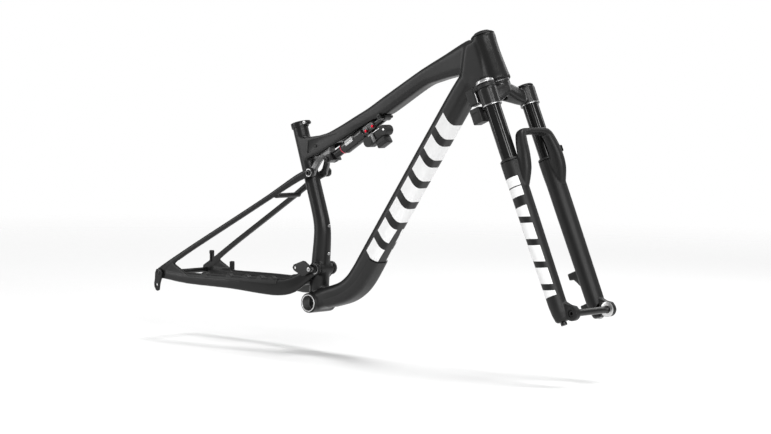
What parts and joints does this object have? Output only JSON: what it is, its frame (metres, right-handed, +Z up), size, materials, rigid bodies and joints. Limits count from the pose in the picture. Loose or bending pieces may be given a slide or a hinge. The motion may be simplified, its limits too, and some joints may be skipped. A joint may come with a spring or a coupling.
{
  "type": "bicycle frame",
  "caption": "Full-suspension mountain-bike frame with front and rear triangles, rocker and air shock, telescopic suspension fork, axles and wireless control units",
  "frame": {"origin": "centre of the bottom-bracket shell", "axes": "+X forward, the way the bicycle rides; +Y to the rider's left; +Z up; right-handed, metres"},
  "size_m": [1.2302, 0.177, 0.6475],
  "materials": {
    "carbon": "satin charcoal paint over carbon fibre",
    "black_alloy": "black anodised",
    "silver_alloy": "satin silver",
    "red_alloy": "red anodised",
    "steel": "plain machined",
    "rubber": "matte",
    "plastic": "fine matte",
    "gloss_black": "gloss black anodised",
    "lowers": "matte black paint over cast magnesium",
    "red_rubber": "matte red"
  },
  "bodies": {
    "mainframe": {"front_triangle": "carbon", "down_tube_guard": "rubber", "bb_thread_insert_right": "silver_alloy", "bb_thread_insert_left": "silver_alloy", "seat_collar": "black_alloy", "seat_collar_bolt": "steel", "bottle_bolt_seat_upper": "steel", "bottle_bolt_seat_lower": "steel", "bottle_bolt_down_lower": "steel", "bottle_bolt_down_upper": "steel", "cable_port_plug": "rubber", "main_pivot_axle": "black_alloy", "main_pivot_nut": "black_alloy", "rocker_axle": "black_alloy", "shock_mount_bolt": "black_alloy", "chain_guide": "plastic", "chain_guide_bolt": "steel", "headset_lower_bearing": "steel", "headset_upper_bearing": "steel"},
    "swingarm": {"rear_triangle": "carbon", "main_pivot_bearing_right": "steel", "main_pivot_bearing_left": "steel", "seatstay_bolt_right": "black_alloy", "seatstay_bolt_left": "black_alloy", "chainstay_guard": "rubber", "derailleur_hanger": "black_alloy", "rear_axle": "black_alloy"},
    "rocker": {"rocker_link": "black_alloy", "rocker_bearing_right": "steel", "rocker_bearing_left": "steel"},
    "shock": {"shock_body": "gloss_black", "shock_o_ring": "red_rubber", "shock_air_valve": "steel", "shock_control_module": "plastic", "shock_battery": "plastic"},
    "shock_dial_compression": {"shock_compression_dial": "red_alloy"},
    "shock_dial_rebound": {"shock_rebound_dial": "red_alloy"},
    "shock_latch": {"shock_battery_latch": "silver_alloy"},
    "shock_button": {"shock_pairing_button": "silver_alloy"},
    "shaft": {"shock_shaft": "black_alloy", "clevis_bolt": "steel"},
    "fork": {"steerer": "black_alloy", "crown_race": "steel", "headset_top_cover": "plastic", "steerer_plug": "black_alloy", "crown": "gloss_black", "stanchion_right": "gloss_black", "stanchion_left": "gloss_black", "fork_top_cap": "black_alloy", "fork_control_module": "plastic", "fork_battery": "plastic"},
    "fork_latch": {"fork_battery_latch": "silver_alloy"},
    "fork_dial_compression": {"fork_compression_dial": "silver_alloy"},
    "lowers": {"fork_lowers": "lowers", "wiper_seal_right": "rubber", "wiper_seal_left": "rubber", "front_axle": "black_alloy", "fork_foot_bolt": "steel", "hose_guide": "plastic"},
    "fork_dial_rebound": {"fork_rebound_dial": "black_alloy"}
  },
  "joints": [
    {"name": "rear_travel", "type": "hinge", "parent": "mainframe", "child": "swingarm", "pos_m": [0.012, 0, 0.078], "axis": [0, 1, 0], "range_deg": [0, 15.46], "stiffness_Nm_per_rad": 4000},
    {"name": "rocker_turn", "type": "hinge", "parent": "mainframe", "child": "rocker", "pos_m": [0.024, 0, 0.358], "axis": [0, -1, 0], "range_deg": [0, 49.7]},
    {"name": "shock_swing", "type": "hinge", "parent": "mainframe", "child": "shock", "pos_m": [0.192, 0, 0.429], "axis": [0, 1, 0], "range_deg": [0, 0.7]},
    {"name": "shock_stroke", "type": "slide", "parent": "shock", "child": "shaft", "axis": [0.8471, 0, 0.5314], "range_m": [0, 0.0259]},
    {"name": "steering", "type": "hinge", "parent": "mainframe", "child": "fork", "pos_m": [0.50826, 0, 0.50811], "axis": [-0.4067, 0, 0.9135], "range_deg": [-45, 45]},
    {"name": "fork_travel", "type": "slide", "parent": "fork", "child": "lowers", "axis": [-0.4067, 0, 0.9135], "range_m": [0, 0.12], "stiffness_N_per_m": 9000},
    {"name": "fork_rebound_turn", "type": "hinge", "parent": "lowers", "child": "fork_dial_rebound", "pos_m": [0.74242, -0.066, 0.01907], "axis": [-0.4067, 0, 0.9135], "range_deg": [0, 270]},
    {"name": "fork_compression_turn", "type": "hinge", "parent": "fork", "child": "fork_dial_compression", "pos_m": [0.51993, -0.066, 0.51878], "axis": [-0.4067, 0, 0.9135], "range_deg": [-75, 75]},
    {"name": "shock_rebound_turn", "type": "hinge", "parent": "shock", "child": "shock_dial_rebound", "pos_m": [0.14722, -0.014, 0.395], "axis": [0, 1, 0], "range_deg": [-135, 135]},
    {"name": "shock_compression_turn", "type": "hinge", "parent": "shock", "child": "shock_dial_compression", "pos_m": [0.16586, -0.014, 0.4067], "axis": [0, 1, 0], "range_deg": [-60, 60]},
    {"name": "shock_pairing_press", "type": "slide", "parent": "shock", "child": "shock_button", "axis": [0, 1, 0], "range_m": [0, 0.0002], "stiffness_N_per_m": 400},
    {"name": "shock_latch_lift", "type": "hinge", "parent": "shock", "child": "shock_latch", "pos_m": [0.17852, -0.0217, 0.37333], "axis": [0.8471, 0, 0.5314], "range_deg": [0, 35], "stiffness_Nm_per_rad": 0.3},
    {"name": "fork_latch_lift", "type": "hinge", "parent": "fork", "child": "fork_latch", "pos_m": [0.49808, -0.072, 0.4368], "axis": [0, -1, 0], "range_deg": [0, 35], "stiffness_Nm_per_rad": 0.3}
  ],
  "couplings": [
    {"joint": "rocker_turn", "follows": "rear_travel", "ratio": 3.2121},
    {"joint": "shock_swing", "follows": "rear_travel", "ratio": 0.0447},
    {"joint": "shock_stroke", "follows": "rear_travel", "m_per_rad": 0.09567}
  ]
}
